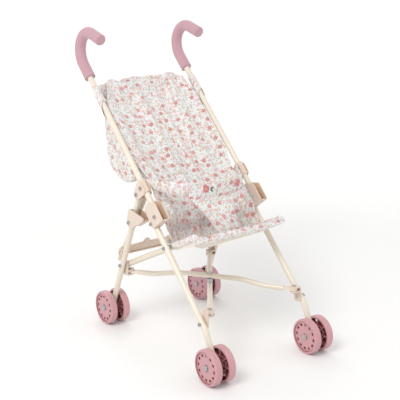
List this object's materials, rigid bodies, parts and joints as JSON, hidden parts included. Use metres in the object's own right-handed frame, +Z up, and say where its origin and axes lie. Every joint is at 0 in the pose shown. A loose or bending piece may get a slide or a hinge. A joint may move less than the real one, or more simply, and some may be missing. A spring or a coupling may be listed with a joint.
{
  "type": "doll stroller",
  "caption": "Umbrella-folding doll stroller: hinged side frames of painted tube joined by crossed braces, twin wheels, cane handles with foam grips, and a slung fabric seat with belt and pouch.",
  "frame": {"origin": "on the floor under the middle of the overall box", "axes": "+Z up, -Y to the stroller's front, +X to its right"},
  "size_m": [0.2526, 0.4504, 0.5422],
  "materials": {
    "painted_tube": "satin",
    "cream_plastic": "satin",
    "pink_plastic": "gloss",
    "pink_foam": "matte",
    "zinc": "satin",
    "print_fabric": "matte"
  },
  "bodies": {
    "front_leg_left": {"front_leg_left": "painted_tube", "hinge_bracket_left": "cream_plastic", "hinge_bolts_left": "zinc", "front_leg_bolts_left": "zinc", "front_axle_left": "zinc"},
    "handle_left": {"handle_tube_left": "painted_tube", "hand_grip_left": "pink_foam", "leg_collar_left": "cream_plastic", "collar_bolts_left": "zinc", "back_panel": "print_fabric", "storage_pouch": "print_fabric", "waist_belt": "print_fabric", "crotch_strap": "print_fabric"},
    "rear_leg_left": {"rear_leg_left": "painted_tube", "side_brace_left": "painted_tube", "rear_leg_bolts_left": "zinc", "rear_axle_left": "zinc", "spreader_boss_left": "cream_plastic"},
    "seat_rail_left": {"seat_rail_left": "painted_tube", "seat_panel": "print_fabric"},
    "fold_latch_left": {"fold_latch_left": "cream_plastic"},
    "front_clevis_left": {"front_clevis_left": "cream_plastic", "front_clevis_pin_left": "zinc"},
    "rear_clevis_left": {"rear_clevis_left": "cream_plastic", "rear_clevis_pin_left": "zinc"},
    "spreader_left": {"spreader_left": "cream_plastic", "spreader_pin": "zinc"},
    "front_wheel_outer_left": {"front_wheel_outer_left": "pink_plastic"},
    "front_wheel_inner_left": {"front_wheel_inner_left": "pink_plastic"},
    "rear_wheel_outer_left": {"rear_wheel_outer_left": "pink_plastic"},
    "rear_wheel_inner_left": {"rear_wheel_inner_left": "pink_plastic"},
    "front_leg_right": {"front_leg_right": "painted_tube", "hinge_bracket_right": "cream_plastic", "hinge_bolts_right": "zinc", "front_leg_bolts_right": "zinc", "front_axle_right": "zinc"},
    "handle_right": {"handle_tube_right": "painted_tube", "hand_grip_right": "pink_foam", "leg_collar_right": "cream_plastic", "collar_bolts_right": "zinc"},
    "rear_leg_right": {"rear_leg_right": "painted_tube", "side_brace_right": "painted_tube", "rear_leg_bolts_right": "zinc", "rear_axle_right": "zinc", "spreader_boss_right": "cream_plastic"},
    "seat_rail_right": {"seat_rail_right": "painted_tube"},
    "fold_latch_right": {"fold_latch_right": "cream_plastic"},
    "front_clevis_right": {"front_clevis_right": "cream_plastic", "front_clevis_pin_right": "zinc"},
    "rear_clevis_right": {"rear_clevis_right": "cream_plastic", "rear_clevis_pin_right": "zinc"},
    "spreader_right": {"spreader_right": "cream_plastic"},
    "front_wheel_outer_right": {"front_wheel_outer_right": "pink_plastic"},
    "front_wheel_inner_right": {"front_wheel_inner_right": "pink_plastic"},
    "rear_wheel_outer_right": {"rear_wheel_outer_right": "pink_plastic"},
    "rear_wheel_inner_right": {"rear_wheel_inner_right": "pink_plastic"},
    "brace_upper": {"brace_upper": "painted_tube"},
    "brace_lower": {"brace_lower": "painted_tube", "brace_rivet": "zinc"}
  },
  "joints": [
    {"name": "frame_fold", "type": "hinge", "parent": "front_leg_left", "child": "handle_left", "pos_m": [-0.1055, -0.03324, 0.2435], "axis": [1, 0, 0], "range_deg": [0, 120], "deforming": ["back_panel", "storage_pouch", "waist_belt", "crotch_strap", "seat_panel"]},
    {"name": "rear_leg_swing_left", "type": "hinge", "parent": "handle_left", "child": "rear_leg_left", "pos_m": [-0.1055, 0.02281, 0.26996], "axis": [1, 0, 0], "range_deg": [-52.2, 0]},
    {"name": "seat_rail_swing_left", "type": "hinge", "parent": "front_leg_left", "child": "seat_rail_left", "pos_m": [-0.0915, -0.05674, 0.1935], "axis": [1, 0, 0], "range_deg": [0, 60.06]},
    {"name": "latch_swing_left", "type": "hinge", "parent": "rear_leg_left", "child": "fold_latch_left", "pos_m": [-0.1055, 0.04734, 0.21411], "axis": [1, 0, 0], "range_deg": [-36.01, 0]},
    {"name": "spreader_swing_left", "type": "hinge", "parent": "rear_leg_left", "child": "spreader_left", "pos_m": [-0.1055, 0.0775, 0.14544], "axis": [0, 0.9156, 0.4021], "range_deg": [0, 70.32]},
    {"name": "front_wheel_outer_left_spin", "type": "hinge", "parent": "front_leg_left", "child": "front_wheel_outer_left", "pos_m": [-0.1055, -0.19424, 0.031], "axis": [1, 0, 0], "continuous": true},
    {"name": "front_wheel_inner_left_spin", "type": "hinge", "parent": "front_leg_left", "child": "front_wheel_inner_left", "pos_m": [-0.1055, -0.19424, 0.031], "axis": [1, 0, 0], "continuous": true},
    {"name": "rear_wheel_outer_left_spin", "type": "hinge", "parent": "rear_leg_left", "child": "rear_wheel_outer_left", "pos_m": [-0.1055, 0.12776, 0.031], "axis": [1, 0, 0], "continuous": true},
    {"name": "rear_wheel_inner_left_spin", "type": "hinge", "parent": "rear_leg_left", "child": "rear_wheel_inner_left", "pos_m": [-0.1055, 0.12776, 0.031], "axis": [1, 0, 0], "continuous": true},
    {"name": "front_clevis_tilt_left", "type": "hinge", "parent": "front_leg_left", "child": "front_clevis_left", "pos_m": [-0.1055, -0.15924, 0.091], "axis": [1, 0, 0], "range_deg": [0, 33.22]},
    {"name": "brace_lower_swing", "type": "hinge", "parent": "front_clevis_left", "child": "brace_lower", "pos_m": [-0.09, -0.15924, 0.10726], "axis": [0, 0, 1], "range_deg": [0, 28.57]},
    {"name": "brace_cross", "type": "hinge", "parent": "brace_lower", "child": "brace_upper", "pos_m": [0, -0.03578, 0.10726], "axis": [0, 0, 1], "range_deg": [-57.12, 0]},
    {"name": "front_clevis_swing_right", "type": "hinge", "parent": "brace_upper", "child": "front_clevis_right", "pos_m": [0.09, -0.15924, 0.10726], "axis": [0, 0, 1], "range_deg": [0, 28.57]},
    {"name": "front_leg_tilt_right", "type": "hinge", "parent": "front_clevis_right", "child": "front_leg_right", "pos_m": [0.1055, -0.15924, 0.091], "axis": [1, 0, 0], "range_deg": [-33.22, 0]},
    {"name": "rear_clevis_swing_left", "type": "hinge", "parent": "brace_upper", "child": "rear_clevis_left", "pos_m": [-0.09, 0.08768, 0.10726], "axis": [0, 0, 1], "range_deg": [0, 28.57]},
    {"name": "rear_clevis_swing_right", "type": "hinge", "parent": "brace_lower", "child": "rear_clevis_right", "pos_m": [0.09, 0.08768, 0.10726], "axis": [0, 0, 1], "range_deg": [-28.57, 0]},
    {"name": "handle_fold_right", "type": "hinge", "parent": "front_leg_right", "child": "handle_right", "pos_m": [0.1055, -0.03324, 0.2435], "axis": [1, 0, 0], "range_deg": [0, 120.01]},
    {"name": "rear_leg_swing_right", "type": "hinge", "parent": "handle_right", "child": "rear_leg_right", "pos_m": [0.1055, 0.02281, 0.26996], "axis": [1, 0, 0], "range_deg": [-52.2, 0]},
    {"name": "seat_rail_swing_right", "type": "hinge", "parent": "front_leg_right", "child": "seat_rail_right", "pos_m": [0.0915, -0.05674, 0.1935], "axis": [1, 0, 0], "range_deg": [0, 60.06]},
    {"name": "latch_swing_right", "type": "hinge", "parent": "rear_leg_right", "child": "fold_latch_right", "pos_m": [0.1055, 0.04734, 0.21411], "axis": [1, 0, 0], "range_deg": [-36.01, 0]},
    {"name": "spreader_swing_right", "type": "hinge", "parent": "rear_leg_right", "child": "spreader_right", "pos_m": [0.1055, 0.0775, 0.14544], "axis": [0, 0.9156, 0.4021], "range_deg": [-70.32, 0]},
    {"name": "front_wheel_outer_right_spin", "type": "hinge", "parent": "front_leg_right", "child": "front_wheel_outer_right", "pos_m": [0.1055, -0.19424, 0.031], "axis": [1, 0, 0], "continuous": true},
    {"name": "front_wheel_inner_right_spin", "type": "hinge", "parent": "front_leg_right", "child": "front_wheel_inner_right", "pos_m": [0.1055, -0.19424, 0.031], "axis": [1, 0, 0], "continuous": true},
    {"name": "rear_wheel_outer_right_spin", "type": "hinge", "parent": "rear_leg_right", "child": "rear_wheel_outer_right", "pos_m": [0.1055, 0.12776, 0.031], "axis": [1, 0, 0], "continuous": true},
    {"name": "rear_wheel_inner_right_spin", "type": "hinge", "parent": "rear_leg_right", "child": "rear_wheel_inner_right", "pos_m": [0.1055, 0.12776, 0.031], "axis": [1, 0, 0], "continuous": true}
  ],
  "couplings": [
    {"joint": "rear_leg_swing_left", "follows": "frame_fold", "ratio": -0.43496},
    {"joint": "seat_rail_swing_left", "follows": "frame_fold", "ratio": 0.50044},
    {"joint": "latch_swing_left", "follows": "frame_fold", "ratio": -0.3},
    {"joint": "spreader_swing_left", "follows": "frame_fold", "ratio": 0.58596},
    {"joint": "front_clevis_tilt_left", "follows": "frame_fold", "ratio": 0.27676},
    {"joint": "brace_lower_swing", "follows": "frame_fold", "ratio": 0.23797},
    {"joint": "brace_cross", "follows": "frame_fold", "ratio": -0.47594},
    {"joint": "front_clevis_swing_right", "follows": "frame_fold", "ratio": 0.23797},
    {"joint": "front_leg_tilt_right", "follows": "frame_fold", "ratio": -0.27676},
    {"joint": "rear_clevis_swing_left", "follows": "frame_fold", "ratio": 0.23797},
    {"joint": "rear_clevis_swing_right", "follows": "frame_fold", "ratio": -0.23797},
    {"joint": "handle_fold_right", "follows": "frame_fold", "ratio": 1},
    {"joint": "rear_leg_swing_right", "follows": "frame_fold", "ratio": -0.43496},
    {"joint": "seat_rail_swing_right", "follows": "frame_fold", "ratio": 0.50044},
    {"joint": "latch_swing_right", "follows": "frame_fold", "ratio": -0.3},
    {"joint": "spreader_swing_right", "follows": "frame_fold", "ratio": -0.58596}
  ]
}
